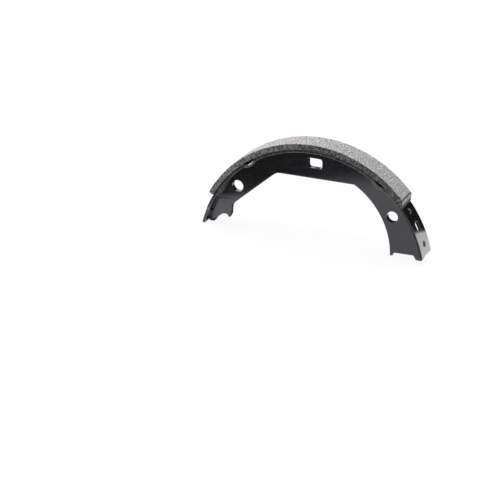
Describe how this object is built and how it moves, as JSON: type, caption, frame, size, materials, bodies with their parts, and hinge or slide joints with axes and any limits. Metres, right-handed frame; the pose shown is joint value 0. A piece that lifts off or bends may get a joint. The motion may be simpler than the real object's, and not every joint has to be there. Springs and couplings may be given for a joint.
{
  "type": "brake shoe",
  "caption": "Bonded drum brake shoe: arched T-section of welded steel strip and pierced web, slotted and pressed at its edges, with a friction lining glued to its outer face.",
  "frame": {"origin": "middle of the shoe's length and width, on the plane that both of its ends stand on", "axes": "+X along the chord from the narrow heel tab to the slotted toe, +Y across the width, +Z from the seat plane towards the crown of the arch"},
  "size_m": [0.178, 0.0196, 0.0784],
  "materials": {
    "web_paint": "gloss black dip paint",
    "table_paint": "gloss black dip paint",
    "adhesive": "cured film adhesive",
    "friction_material": "ground outside, moulded and speckled at the sides"
  },
  "bodies": {
    "root": {"shoe_web": "web_paint", "shoe_table": "table_paint", "bond_film": "adhesive", "friction_lining": "friction_material"}
  },
  "joints": []
}
